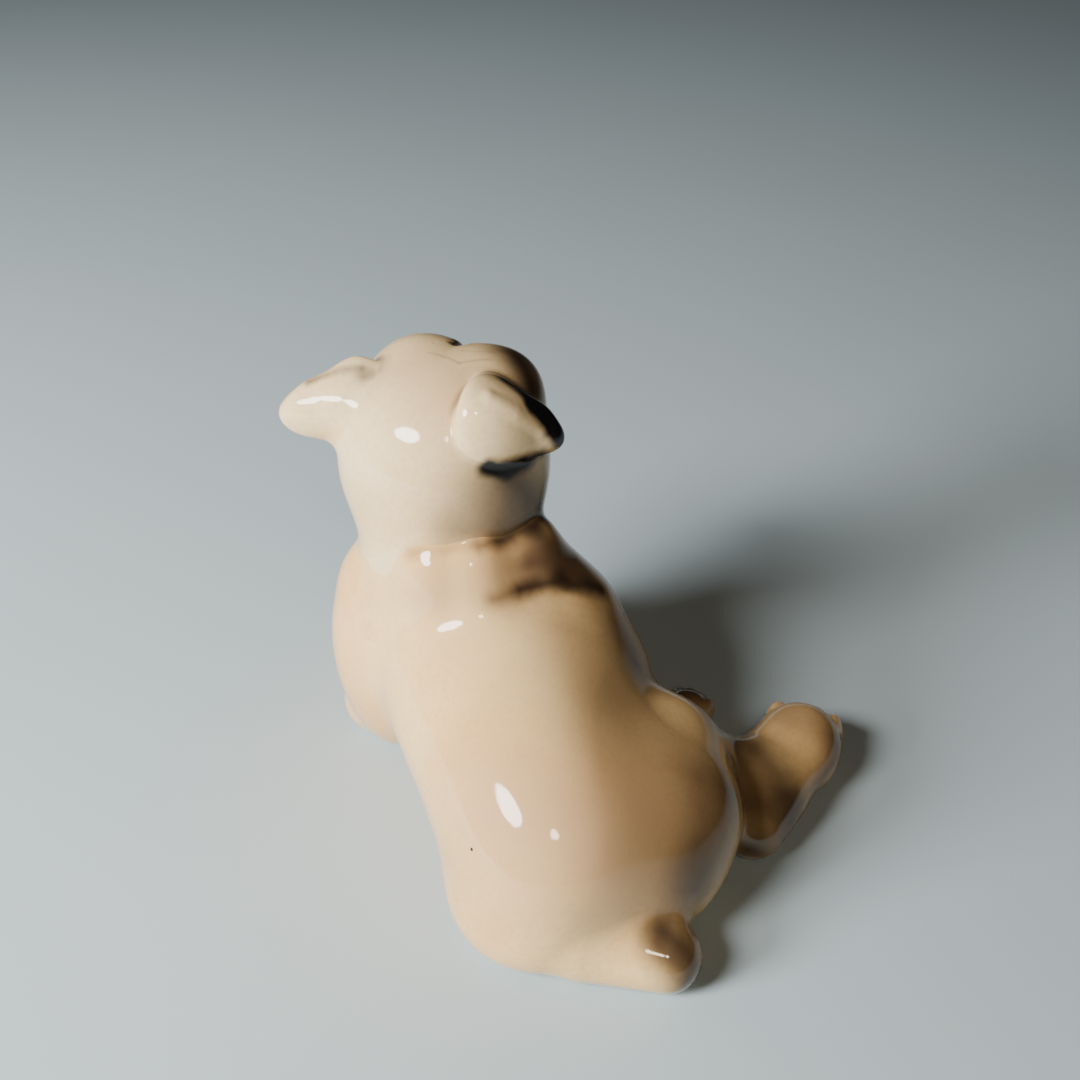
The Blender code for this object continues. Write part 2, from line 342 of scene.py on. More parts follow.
def surface_net(values, axes):
    """Quads through the cells that the surface crosses, one point in each."""
    inside = values < 0
    corners = [(i, j, k) for i in (0, 1) for j in (0, 1) for k in (0, 1)]
    shape = tuple(n - 1 for n in values.shape)

    def corner(array, offset):
        return array[tuple(slice(o, o + n) for o, n in zip(offset, shape))]

    count = sum(corner(inside, c).astype(np.int8) for c in corners)
    cells = np.argwhere((count > 0) & (count < 8))
    number = np.full(shape, -1, np.int64)
    number[tuple(cells.T)] = np.arange(len(cells))
    total = np.zeros((len(cells), 3))
    hits = np.zeros(len(cells))
    for a in corners:
        for n in range(3):
            if a[n]:
                continue
            b = tuple(1 if m == n else a[m] for m in range(3))
            va = values[tuple((cells + a).T)]
            vb = values[tuple((cells + b).T)]
            crossed = (va < 0) != (vb < 0)
            t = np.where(crossed, va / np.where(crossed, va - vb, 1), 0)
            spot = np.array(a, float) + t[:, None] * (np.arange(3) == n)
            total += spot * crossed[:, None]
            hits += crossed
    step = axes[0][1] - axes[0][0]
    points = np.array([axis[0] for axis in axes]) + (cells + total / hits[:, None]) * step
    quads = []
    for n in range(3):
        u, v = (n + 1) % 3, (n + 2) % 3
        first = np.take(inside, range(values.shape[n] - 1), axis=n)
        second = np.take(inside, range(1, values.shape[n]), axis=n)
        edges = np.argwhere(first != second)
        edges = edges[(edges[:, u] > 0) & (edges[:, v] > 0)]
        ring = []
        for du, dv in ((0, 0), (-1, 0), (-1, -1), (0, -1)):
            cell = edges.copy()
            cell[:, u] += du
            cell[:, v] += dv
            ring.append(number[tuple(cell.T)])
        ring = np.stack(ring, 1)
        outward = first[tuple(edges.T)]
        ring[~outward] = ring[~outward][:, ::-1]
        quads.append(ring)
    return points, np.concatenate(quads)


def slope(p, reach=0.04):
    """Distance and its gradient, from four samples."""
    signs = np.array([[1, -1, -1], [-1, -1, 1], [-1, 1, -1], [1, 1, 1]], float)
    samples = [puppy(p + reach * s)[0] for s in signs]
    gradient = sum(d[:, None] * s for d, s in zip(samples, signs)) / (4 * reach)
    return sum(samples) / 4, gradient


@functools.lru_cache(maxsize=None)
def skin():
    """Points, triangles, normals and crevice depth of the whole puppy, and each casting's distance."""
    cell = FINE_CELL
    axes = grid_axes(cell)
    points, quads = surface_net(distances(axes, cell), axes)
    for _ in range(2):
        depth, gradient = slope(points)
        shift = depth[:, None] * gradient / ((gradient * gradient).sum(1)[:, None] + 1e-6)
        points -= np.clip(shift, -cell, cell)
    normals = slope(points, 0.12)[1]
    normals /= length(normals)[:, None]
    parts = puppy(points)[1]
    # Crevice depth, from how near the clay lies along the normal; the glazes darken it as painted
    # occlusion shade
    crevice = np.zeros(len(points))
    for reach, weight in ((1.5, 0.35), (3.5, 0.35), (7.0, 0.3)):
        crevice += weight * np.clip(1 - puppy(points + reach * normals)[0] / reach, 0, 1)
    triangles = np.concatenate([quads[:, (0, 1, 2)], quads[:, (0, 2, 3)]])
    return points, triangles, normals, crevice, parts


def parted(name):
    """The part of the skin that belongs to one casting, cut off where it meets the others."""
    points, triangles, normals, crevice, parts = skin()
    others = functools.reduce(np.minimum, [d for other, d in parts.items() if other != name])
    side = parts[name] - others
    own = side < 0
    kept = triangles[own[triangles].all(1)]
    crossed = triangles[own[triangles].any(1) & ~own[triangles].all(1)]
    edges = {}
    new_points, new_normals, new_crevice, extra = [], [], [], []

    def split(a, b):
        key = (min(a, b), max(a, b))
        if key not in edges:
            a, b = key
            t = side[a] / (side[a] - side[b])
            edges[key] = len(points) + len(new_points)
            new_points.append(points[a] * (1 - t) + points[b] * t)
            new_normals.append(normals[a] * (1 - t) + normals[b] * t)
            new_crevice.append(crevice[a] * (1 - t) + crevice[b] * t)
        return edges[key]

    rim = {}
    for tri in crossed.tolist():
        while not (own[tri[0]] and not own[tri[2]]):
            tri = tri[1:] + tri[:1]
        a, b, c = tri
        leave, back = (split(b, c), split(a, c)) if own[b] else (split(a, b), split(a, c))
        extra += [(a, b, leave), (a, leave, back)] if own[b] else [(a, leave, back)]
        rim[back] = leave
    faces = np.concatenate([kept, np.array(extra, dtype=int).reshape(-1, 3)])
    all_points = np.concatenate([points, np.array(new_points).reshape(-1, 3)])
    all_normals = np.concatenate([normals, np.array(new_normals).reshape(-1, 3)])
    all_crevice = np.concatenate([crevice, np.array(new_crevice)])
    used, faces = np.unique(faces, return_inverse=True)
    faces = faces.reshape(-1, 3)
    place = {old: new for new, old in enumerate(used)}
    loops = closed_loops({place[a]: place[b] for a, b in rim.items()})
    return all_points[used], faces, all_normals[used], all_crevice[used], loops


def closed_loops(following):
    """Rings of the cut edge, from a table of each point's next one."""
    loops = []
    while following:
        start, point = following.popitem()
        ring = [start]
        while point != start and point in following:
            ring.append(point)
            point = following.pop(point)
        loops.append(ring)
    return loops


def casting(name):
    """One finished casting as an object, closed over its joints, with the glaze's normals."""
    points, faces, normals, crevice, loops = parted(name)
    skin_faces = len(faces)
    for ring in loops:
        if len(ring) < 3:
            continue
        middle = len(points)
        points = np.concatenate([points, points[ring].mean(0)[None]])
        normals = np.concatenate([normals, [[0.0, 0.0, 1.0]]])
        crevice = np.concatenate([crevice, [1.0]])
        fan = [(middle, a, b) for a, b in zip(ring, ring[1:] + ring[:1])]
        faces = np.concatenate([faces, fan])
    mesh = bpy.data.meshes.new(f"glazed_{name}")
    mesh.from_pydata(((points - ORIGIN) * MM).tolist(), [], faces.tolist())
    if mesh.validate():
        raise RuntimeError(f"the skin of {name} had broken faces")
    mesh.shade_smooth()
    glaze_normals = normals[faces.ravel()]
    joint_normals = np.array([face.normal for face in mesh.polygons[skin_faces:]]).reshape(-1, 3)
    glaze_normals[3 * skin_faces:] = np.repeat(joint_normals, 3, axis=0)
    mesh.normals_split_custom_set(glaze_normals.tolist())
    # Crevice depth, which the glazes darken as painted occlusion shade
    crevice_depth = mesh.attributes.new("crevice", "FLOAT", "POINT")
    crevice_depth.data.foreach_set("value", crevice.astype(np.float32))
    made = bpy.data.objects.new(f"glazed_{name}", mesh)
    bpy.context.scene.collection.objects.link(made)
    return made


# ---------------------------------------------------------------- shader groups

def place(spot, in_the_head=False):
    """A spot in the modelling millimetres, or in the head's own, as Object coordinates in metres."""
    spot = np.array(spot, float)
    if in_the_head:
        spot = spin(HEAD_TURN) @ spot + np.array(HEAD_PLACE)
    return tuple((spot - ORIGIN) * MM)


def new_group(name, inputs, outputs):
    """An empty shader group with these sockets, and its input and output nodes."""
    tree = bpy.data.node_groups.new(name, "ShaderNodeTree")
    for socket, kind, value in inputs:
        made = tree.interface.new_socket(socket, in_out="INPUT", socket_type=f"NodeSocket{kind}")
        made.default_value = value
    for socket, kind in outputs:
        tree.interface.new_socket(socket, in_out="OUTPUT", socket_type=f"NodeSocket{kind}")
    return tree, tree.nodes.new("NodeGroupInput").outputs, tree.nodes.new("NodeGroupOutput").inputs


def wire(tree, source, socket):
    """Links a socket to another, or sets it to a plain value."""
    if isinstance(source, bpy.types.NodeSocket):
        tree.links.new(source, socket)
    elif source is not None:
        socket.default_value = source


def maths(tree, operation, *sources, clamp=False):
    node = tree.nodes.new("ShaderNodeMath")
    node.operation = operation
    node.use_clamp = clamp
    for source, socket in zip(sources, node.inputs):
        wire(tree, source, socket)
    return node.outputs[0]


def vector_maths(tree, operation, *sources, scale=None):
    node = tree.nodes.new("ShaderNodeVectorMath")
    node.operation = operation
    for source, socket in zip(sources, node.inputs):
        wire(tree, source, socket)
    if scale is not None:
        wire(tree, scale, node.inputs["Scale"])
    return node.outputs["Value" if operation in ("DOT_PRODUCT", "LENGTH", "DISTANCE") else "Vector"]


def ramp(tree, value, low, high, out_low=0.0, out_high=1.0):
    """The value eased from low..high to out_low..out_high, and clamped."""
    node = tree.nodes.new("ShaderNodeMapRange")
    node.interpolation_type = "SMOOTHSTEP"
    for source, socket in zip((value, low, high, out_low, out_high), node.inputs):
        wire(tree, source, socket)
    return node.outputs[0]


def noise(tree, position, scale, detail=2.0, roughness=0.5):
    node = tree.nodes.new("ShaderNodeTexNoise")
    wire(tree, position, node.inputs["Vector"])
    node.inputs["Scale"].default_value = scale
    node.inputs["Detail"].default_value = detail
    node.inputs["Roughness"].default_value = roughness
    return node


def blend(tree, mask, under, over):
    """The colour under, covered by the colour over where the mask says."""
    node = tree.nodes.new("ShaderNodeMix")
    node.data_type = "RGBA"
    wire(tree, mask, node.inputs["Factor"])
    for source, socket in ((under, node.inputs[6]), (over, node.inputs[7])):
        wire(tree, (*source, 1) if isinstance(source, tuple) and len(source) == 3 else source, socket)
    return node.outputs[2]


def group_node(tree, group, **sources):
    node = tree.nodes.new("ShaderNodeGroup")
    node.node_tree = group
    for name, source in sources.items():
        wire(tree, source, node.inputs[name.replace("_", " ")])
    return node.outputs


@functools.lru_cache(maxsize=None)
def airbrush_group():
    """A soft stroke between two places, as a mask that fades out around it; the strokes lay both paint
    and painted shade.
    """
    tree, given, made = new_group("airbrush stroke", (
        ("Position", "Vector", (0, 0, 0)), ("Start", "Vector", (0, 0, 0)), ("End", "Vector", (0, 0, 0)),
        ("Reach", "Float", 0.004), ("Softness", "Float", 0.004), ("Strength", "Float", 1.0),
    ), (("Mask", "Float"),))
    run = vector_maths(tree, "SUBTRACT", given["End"], given["Start"])
    offset = vector_maths(tree, "SUBTRACT", given["Position"], given["Start"])
    squared = maths(tree, "ADD", vector_maths(tree, "DOT_PRODUCT", run, run), 1e-9)
    along = maths(tree, "DIVIDE", vector_maths(tree, "DOT_PRODUCT", offset, run), squared, clamp=True)
    nearest = vector_maths(tree, "SCALE", run, scale=along)
    away = vector_maths(tree, "DISTANCE", offset, nearest)
    inner = maths(tree, "SUBTRACT", given["Reach"], given["Softness"])
    outer = maths(tree, "ADD", given["Reach"], given["Softness"])
    wire(tree, ramp(tree, away, inner, outer, given["Strength"], 0.0), made["Mask"])
    return tree


@functools.lru_cache(maxsize=None)
def wander_group():
    """The position, pushed about a little so that no painted edge is quite even."""
    tree, given, made = new_group("hand wander", (
        ("Position", "Vector", (0, 0, 0)), ("Amount", "Float", 0.0012), ("Scale", "Float", 160.0),
    ), (("Position", "Vector"),))
    cloud = tree.nodes.new("ShaderNodeTexNoise")
    wire(tree, given["Position"], cloud.inputs["Vector"])
    wire(tree, given["Scale"], cloud.inputs["Scale"])
    cloud.inputs["Detail"].default_value = 2.5
    centred = vector_maths(tree, "SUBTRACT", cloud.outputs["Color"], (0.5, 0.5, 0.5))
    push = vector_maths(tree, "SCALE", centred, scale=maths(tree, "MULTIPLY", given["Amount"], 2.0))
    wire(tree, vector_maths(tree, "ADD", given["Position"], push), made["Position"])
    return tree


@functools.lru_cache(maxsize=None)
def speck_group():
    """Iron specks and pinholes: small dots in a few cells of a fine pattern."""
    tree, given, made = new_group("iron specks", (
        ("Position", "Vector", (0, 0, 0)), ("Scale", "Float", 220.0), ("Share", "Float", 0.02),
        ("Size", "Float", 0.09),
    ), (("Mask", "Float"),))
    cells = tree.nodes.new("ShaderNodeTexVoronoi")
    wire(tree, given["Position"], cells.inputs["Vector"])
    wire(tree, given["Scale"], cells.inputs["Scale"])
    pick = tree.nodes.new("ShaderNodeSeparateColor")
    wire(tree, cells.outputs["Color"], pick.inputs[0])
    chosen = maths(tree, "LESS_THAN", pick.outputs[0], given["Share"])
    size = maths(tree, "MULTIPLY", given["Size"], maths(tree, "ADD", pick.outputs[1], 0.4))
    dot = ramp(tree, cells.outputs["Distance"], maths(tree, "MULTIPLY", size, 0.6), size, 1.0, 0.0)
    wire(tree, maths(tree, "MULTIPLY", chosen, dot), made["Mask"])
    return tree


@functools.lru_cache(maxsize=None)
def glaze_flow_group():
    """How the melted glaze lies: slow swells, faint orange peel, pinholes, and its roughness."""
    tree, given, made = new_group("glaze flow", (
        ("Position", "Vector", (0, 0, 0)), ("Crevice", "Float", 0.0), ("Roughness", "Float", 0.06),
    ), (("Height", "Float"), ("Roughness", "Float")))
    swell = noise(tree, given["Position"], 45, 1.0).outputs["Fac"]
    peel = noise(tree, given["Position"], 420, 2.0).outputs["Fac"]
    grain = noise(tree, given["Position"], 1500, 2.0).outputs["Fac"]
    holes = group_node(
        tree, speck_group(), Position=given["Position"], Scale=300.0, Share=0.03, Size=0.12)
    height = maths(tree, "ADD", swell, maths(tree, "MULTIPLY", peel, 0.045))
    height = maths(tree, "SUBTRACT", height, maths(tree, "MULTIPLY", holes["Mask"], 0.08))
    wire(tree, height, made["Height"])
    dulled = maths(tree, "MULTIPLY", grain, 0.05)
    dulled = maths(tree, "ADD", dulled, maths(tree, "MULTIPLY", peel, 0.04))
    dulled = maths(tree, "ADD", dulled, maths(tree, "MULTIPLY", given["Crevice"], 0.06))
    wire(tree, maths(tree, "ADD", given["Roughness"], dulled), made["Roughness"])
    return tree


# ---------------------------------------------------------------- glazes

# Strokes of sprayed paint and of painted shade: start, end, reach and softness in millimetres,
# strength, and the pigment
NECK_STROKES = (
    ((2, 0.4, 61.2), (-10, -5.2, 53), 3.2, 3.4, 0.9, "umber"),      # right end of the neck roll: painted shade, where the head's shadow falls
    ((0, -3.5, 62.5), (-7.3, -6, 57), 4.0, 3.4, 0.85, "umber"),
    ((9.5, 8, 57.4), (1, 2.9, 56.8), 1.2, 2.4, 0.8, "umber"),       # groove behind the roll: painted shade, over brown paint in the groove
    ((4, 4.5, 57), (-4.5, -0.6, 55.3), 1.5, 2.2, 1.0, "deep_shade"),
    ((-4.5, -0.6, 55.3), (-12.7, -4.6, 49.6), 1.8, 2.0, 1.0, "deep_shade"),
    ((26, 2, 64), (13, 2, 66), 0.8, 1.8, 0.55, "umber"),            # crease above the roll: brown paint, with painted shade deepening towards the right
    ((12, 2.2, 66.1), (6, -1.5, 65.1), 0.9, 1.9, 0.8, "umber"),
    ((8.8, 0.3, 65.7), (1.6, -5.5, 65.2), 1.4, 2.2, 0.95, "deep_shade"),
    ((1.6, -5.5, 65.2), (-1, -12, 64), 2.0, 2.4, 1.0, "deep_shade"),
)
EAR_SHADE = (
    ((10.4, -2.6, 81.6), (6.5, -4, 79.9), 2.0, 1.2, 1.0, "black"),  # under the right ear
    ((6.5, -4, 79.9), (0, -9, 80.8), 2.2, 1.4, 1.0, "black"),
)
BODY_STROKES = (
    ((12, 12, 56), (-4, 24, 50), 8.0, 12.0, 0.45, "cream"),         # pale patch along the back
    ((8, 47, 38), (-12, 50, 32), 12.0, 14.0, 0.9, "tan"),           # rump: deeper tan, partly painted shade where the back turns from the light
    ((-12, 14, 45), (-18, 40, 30), 9.0, 14.0, 0.45, "tan"),         # right side of the back: painted shade, away from the light
    ((-30, 31, 29), (-30, 46, 22), 6.0, 9.0, 0.85, "umber"),        # haunch: painted shade
    ((23, 8, 58), (2, 0, 60), 5.0, 6.0, 0.75, "tan"),               # neck roll
    ((42, -4, 48), (42, -2, 12), 4.0, 6.0, 0.5, "rose"),            # left shoulder
    ((-9, -6, 47), (-20, 5, 37), 4.5, 7.0, 0.95, "deep_shade"),          # painted shade on the right flank, before the knee
    ((-37, 30, 24), (-30, 47, 17), 5.0, 8.0, 0.9, "deep_shade"),         # painted shade on the right side of the haunch
    ((-38, 12, 21), (-42, 22, 14), 4.0, 6.0, 0.8, "umber"),         # painted shade at the edge of the haunch, by the foot
    ((-22, 54, 13), (-26, 57, 12), 1.8, 3.4, 0.95, "deep_shade"),        # painted shade at the root of the tail
    ((-24, 57, 13), (-29, 60, 6), 4.8, 3.4, 0.9, "deep_shade"),          # painted shade on the right side of the tail
    ((-46, 10, 16), (-52, 20, 13), 5.0, 6.0, 0.95, "deep_shade"),        # painted shade at the waist of the right hind foot
    ((-51, 22, 9), (-44, 29, 7), 6.0, 6.0, 0.95, "deep_shade"),          # painted shade on the hock
    ((-54, -2, 15), (-62, 3, 15), 6.0, 6.0, 0.55, "umber"),         # painted shade on top of the paw
    ((-66, 4, 12), (-60, 16, 7), 3.0, 4.0, 0.9, "umber"),           # painted shade on the right edge of the foot
    ((-31, -14, 9), (-36, -18, 8), 6.0, 5.0, 0.9, "umber"),         # painted shade on the left hind paw, behind the knee
    ((38, -50, 6), (30, -50, 6), 5.0, 5.0, 0.5, "tan"),             # left forepaw
    ((7, -50, 6), (-1, -50, 6), 5.0, 5.0, 0.5, "tan"),              # right forepaw
)
# These lie in the head's own frame; those marked True are painted on both sides
HEAD_STROKES = (
    ((6, 2, 19), (-12, 6, 17), 8.0, 9.0, 0.55, "tan", False),           # crown
    ((-13, 17, 2), (-17, 15, -6), 6.0, 7.0, 0.5, "umber", False),       # painted shade on the right side of the nape
    ((-10, 22, -4), (-18, 15, -7), 3.0, 6.0, 0.7, "umber", False),      # painted shade on the nape, above the crease
    ((-19, 11, 3), (-22, 5, -10), 5.0, 7.0, 0.95, "deep_shade", False),      # painted shade on the cheek under the right ear
    ((-12, -13, 15.5), (-18, -7, 12), 4.6, 4.5, 1.0, "deep_shade", False),   # right brow: the dark of the mask, and painted shade away from the light
    ((6.5, -16, 13.6), (0.5, -15, 14.2), 1.2, 1.6, 0.9, "black", False),  # thumb mark
    ((3, -5, 18), (-4, -3.5, 18.2), 0.2, 0.7, 0.5, "umber", False),     # fine wrinkles
    ((-4, -3.5, 18.2), (-9, -7, 17), 0.2, 0.7, 0.5, "umber", False),
    ((-3, -8.5, 17.5), (-9, -10, 16.5), 0.2, 0.7, 0.4, "umber", False),
    ((13.4, 3, 16.3), (12.6, 1, 16.4), 0.6, 1.8, 0.7, "black", False),  # smudge by the left ear
    ((12, -14, 12), (17, -8, 12), 1.5, 4.0, 0.35, "umber", False),      # left brow
    ((0, -22, -3), (0, -20, -13), 6.5, 4.5, 1.0, "black", False),       # muzzle
    ((5, -20, -9), (8, -16, -12), 5.0, 4.0, 0.9, "black", True),        # flews
    ((9.5, -20, 1), (9.5, -18, 1), 4.6, 0.9, 1.0, "black", True),       # eyes and their rims
    ((13, -14, 2), (17, -8, 0), 2.0, 5.0, 0.45, "umber", True),         # temples
    ((0, -23, 3), (0, -19, 8), 1.0, 2.4, 0.6, "umber", False),          # bridge and furrow
)
EAR_STROKES = {
    "left_ear": (
        ((36, -21.5, 93), (47, -21, 90.5), 0.8, 1.2, 0.75, "black"),    # upper edge
        ((34, -20, 93), (35.5, -20, 92), 1.2, 2.2, 0.7, "black"),
        ((44, -16, 79.5), (38.5, -14, 83), 2.0, 4.0, 0.55, "rose"),     # lower root
        ((42, -25, 86), (50, -25, 85), 5.0, 2.5, 0.9, "black"),         # inside
    ),
    "right_ear": (
        ((7.0, -16, 93), (1, -11.6, 89.8), 2.4, 1.3, 1.0, "black"),     # leading edge
        ((1, -11.6, 89.8), (-5.5, -11, 83.5), 3.0, 1.0, 1.0, "black"),  # curled tip
        ((8, -18, 91), (0, -18, 87), 5.0, 3.0, 0.9, "black"),           # inside
    ),
}


PIGMENTS = ("umber", "deep_shade", "tan", "rose", "cream", "black")


def sprayed(tree, colour, position, strokes, pigments):
    """The colour with each stroke laid over it in turn, sprayed paint and painted shade alike."""
    for start, end, reach, softness, strength, pigment in strokes:
        mask = group_node(
            tree, airbrush_group(), Position=position, Start=start, End=end,
            Reach=reach * MM, Softness=softness * MM, Strength=strength,
        )["Mask"]
        colour = blend(tree, mask, colour, pigments[pigment])
    return colour


def placed(strokes):
    return [(place(start), place(end), *rest) for start, end, *rest in strokes]


def head_strokes():
    """The head's strokes in Object coordinates, with the mirrored ones doubled."""
    for start, end, *rest, mirrored in HEAD_STROKES:
        for side in ((1, -1) if mirrored else (1,)):
            ends = [place((side * x, y, z), True) for x, y, z in (start, end)]
            yield (*ends, *rest)


def glazed(name, base, strokes, settings):
    """Clear gloss glaze over a sprayed body colour, with painted shade laid in strokes and crevices."""
    material = bpy.data.materials.new(name)
    material.use_nodes = True
    tree = material.node_tree
    shader = tree.nodes["Principled BSDF"]
    position = tree.nodes.new("ShaderNodeTexCoord").outputs["Object"]
    crevice = tree.nodes.new("ShaderNodeAttribute")
    crevice.attribute_name = "crevice"
    crevice = crevice.outputs["Fac"]
    hand = group_node(tree, wander_group(), Position=position)["Position"]
    pigments = {pigment: tuple(getattr(settings, pigment)) for pigment in PIGMENTS}
    clouds = noise(tree, position, 38, 3.0).outputs["Fac"]
    mist = noise(tree, position, 900, 2.0).outputs["Fac"]
    deeper = tuple(c * s for c, s in zip(base, (0.90, 0.82, 0.74)))
    colour = blend(tree, ramp(tree, clouds, 0.38, 0.68), tuple(base), deeper)
    colour = blend(tree, ramp(tree, mist, 0.35, 0.75, 0.0, 0.10), colour, pigments["umber"])
    colour = sprayed(tree, colour, hand, strokes, pigments)
    # Umber laid into the crevices by their depth: painted occlusion shade, together with the brown
    # paint that gathers in the folds
    crevice_shade = maths(tree, "ADD", crevice, maths(tree, "MULTIPLY", clouds, 0.1))
    crevice_shade = ramp(tree, crevice_shade, 0.30, 0.75, 0.0, 0.9)
    colour = blend(tree, crevice_shade, colour, pigments["umber"])
    height = tree.nodes.new("ShaderNodeSeparateXYZ")
    wire(tree, hand, height.inputs[0])
    wiped = ramp(tree, height.outputs["Z"], 0.5 * SEAT_HEIGHT * MM, 1.6 * SEAT_HEIGHT * MM, 0.85, 0.0)
    colour = blend(tree, wiped, colour, tuple(settings.porcelain))
    specks = group_node(
        tree, speck_group(), Position=position, Scale=190.0, Share=0.02, Size=0.07)["Mask"]
    colour = blend(tree, specks, colour, pigments["black"])
    flow = group_node(
        tree, glaze_flow_group(), Position=position, Crevice=crevice, Roughness=GLAZE_ROUGHNESS)
    bump = tree.nodes.new("ShaderNodeBump")
    bump.inputs["Strength"].default_value = RIPPLE
    bump.inputs["Distance"].default_value = RIPPLE_DEPTH
    wire(tree, flow["Height"], bump.inputs["Height"])
    wire(tree, colour, shader.inputs["Base Color"])
    wire(tree, flow["Roughness"], shader.inputs["Roughness"])
    wire(tree, bump.outputs["Normal"], shader.inputs["Normal"])
    shader.inputs["IOR"].default_value = GLAZE_IOR
    shader.inputs["Coat Weight"].default_value = COAT
    shader.inputs["Coat Roughness"].default_value = COAT_ROUGHNESS
    return material


def paper(name, colour):
    """The pale, faintly mottled sheet that the puppy stands on."""
    material = bpy.data.materials.new(name)
    material.use_nodes = True
    tree = material.node_tree
    shader = tree.nodes["Principled BSDF"]
    position = tree.nodes.new("ShaderNodeTexCoord").outputs["Object"]
    mottle = noise(tree, position, 9, 3.0).outputs["Fac"]
    tooth = noise(tree, position, 900, 3.0).outputs["Fac"]
    darker = tuple(0.94 * c for c in colour)
    wire(tree, blend(tree, mottle, tuple(colour), darker), shader.inputs["Base Color"])
    wire(tree, ramp(tree, tooth, 0.2, 0.8, 0.55, 0.7), shader.inputs["Roughness"])
    return material


# ---------------------------------------------------------------- settings

def colour_setting(name, description, default):
    return FloatVectorProperty(
        name=name, description=description, default=default, subtype="COLOR", size=3, min=0, max=1)


class PuppyGlazeSettings(bpy.types.PropertyGroup):
    """Colours of the body, the pigments, the painted shade and the bare porcelain."""
    fawn: colour_setting("Fawn", "Sprayed colour of the body and legs", (0.88, 0.575, 0.25))
    pale: colour_setting("Pale Cream", "Sprayed colour of the head", (0.87, 0.655, 0.36))
    cream: colour_setting("Cream", "Lighter patch along the back", (0.86, 0.62, 0.31))
    # Tan is partly painted shade, on the rump and the right side of the back
    tan: colour_setting("Tan", "Deeper patches on rump and haunch", (0.60, 0.365, 0.185))
    rose: colour_setting("Rose", "Pinkish flush on the shoulder", (0.85, 0.45, 0.17))
    # Umber is brown paint in wrinkles and flecks, and painted shade in creases and on the side away
    # from the light
    umber: colour_setting("Umber", "Brown sprayed into folds", (0.14, 0.078, 0.042))
    # Deep shade: darkest brown painted as shade on the side away from the light, in the deepest folds
    # and under the right ear
    deep_shade: colour_setting("Sable", "Darkest brown, in the deepest folds", (0.05, 0.028, 0.016))
    black: colour_setting("Black", "Mask, ear edges and specks", (0.012, 0.011, 0.011))
    porcelain: colour_setting("Porcelain", "Bare body near the seat", (0.62, 0.60, 0.50))


class PuppyStageSettings(bpy.types.PropertyGroup):
    """Camera, lights and floor."""
    floor: colour_setting("Floor", "Colour of the sheet underneath", (0.48, 0.57, 0.60))
    camera_height: FloatProperty(
        name="Camera Height", description="Above the floor", default=0.220, unit="LENGTH", min=0.05)
    camera_back: FloatProperty(
        name="Camera Distance", description="Behind the modelling centre", default=0.212,
        unit="LENGTH", min=0.05)
    camera_pitch: FloatProperty(
        name="Camera Pitch", description="Downward tilt", default=radians(36), unit="ROTATION")
    camera_view: FloatProperty(
        name="Angle of View", description="Across the frame", default=radians(45), unit="ROTATION")
    window_power: FloatProperty(
        name="Window Power", description="Large light on the puppy's left", default=5.0,
        unit="POWER", min=0)
    panel_power: FloatProperty(
        name="Panel Power", description="Lower light from the same side, without reflection",
        default=11.5, unit="POWER", min=0)
    lamp_power: FloatProperty(
        name="Lamp Power", description="Small warm lamp overhead", default=0.65, unit="POWER", min=0)
    ambient: FloatProperty(
        name="Ambient", description="Strength of the soft light all round", default=0.018, min=0, max=2)


# ---------------------------------------------------------------- operators

# The luting slip that each casting's glazed joint covers
SLIPS = {
    "head": "neck_slip_ring",
    "left_ear": "left_ear_slip",
    "right_ear": "right_ear_slip",
    "left_forearm": "left_forearm_slip",
    "right_forearm": "right_forearm_slip",
    "left_hind_foot": "left_hind_foot_slip",
    "right_hind_foot": "right_hind_foot_slip",
    "tail": "tail_slip",
}


def finished(name, node, material):
    """A glazed casting, standing for its node and for the slip under its joint."""
    made = casting(name)
    made.data.materials.append(material)
    own = np.array([made.bound_box[0], made.bound_box[6]])
    packed = np.array([tuple(corner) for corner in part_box(node)])
    if np.abs(own - packed).max() > FIT:
        raise RuntimeError(f"{name} strays from {node}: {own} against {packed}")
    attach(made, "root")
    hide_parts(node)
    if name in SLIPS:
        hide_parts(SLIPS[name])
    return made


class PUPPY_OT_body(bpy.types.Operator):
    """Model the body casting, spray it fawn and paint its shade"""
    bl_idname = "puppy.body"
    bl_label = "Body"

    def execute(self, context):
        settings = context.scene.puppy_glaze
        strokes = placed(BODY_STROKES + NECK_STROKES)
        glaze = glazed("sprayed_fawn", settings.fawn, strokes, settings)
        finished("body", "body_casting", glaze)
        return {"FINISHED"}


class PUPPY_OT_limbs(bpy.types.Operator):
    """Model the forearms, hind feet and tail"""
    bl_idname = "puppy.limbs"
    bl_label = "Limbs and Tail"

    def execute(self, context):
        glaze = bpy.data.materials["sprayed_fawn"]
        for name in ("left_forearm", "right_forearm", "left_hind_foot", "right_hind_foot", "tail"):
            finished(name, name, glaze)
        return {"FINISHED"}


class PUPPY_OT_head(bpy.types.Operator):
    """Model the head casting with its face"""
    bl_idname = "puppy.head"
    bl_label = "Head"

    def execute(self, context):
        settings = context.scene.puppy_glaze
        strokes = (*head_strokes(), *placed(NECK_STROKES + EAR_SHADE))
        glaze = glazed("sprayed_cream", settings.pale, strokes, settings)
        finished("head", "head_casting", glaze)
        return {"FINISHED"}


class PUPPY_OT_ears(bpy.types.Operator):
    """Model both drop ears with their dark edges"""
    bl_idname = "puppy.ears"
    bl_label = "Ears"

    def execute(self, context):
        settings = context.scene.puppy_glaze
        for name in ("left_ear", "right_ear"):
            strokes = EAR_STROKES[name] + (EAR_SHADE if name == "right_ear" else ())
            glaze = glazed(f"sprayed_{name}", settings.pale, placed(strokes), settings)
            finished(name, name, glaze)
        return {"FINISHED"}


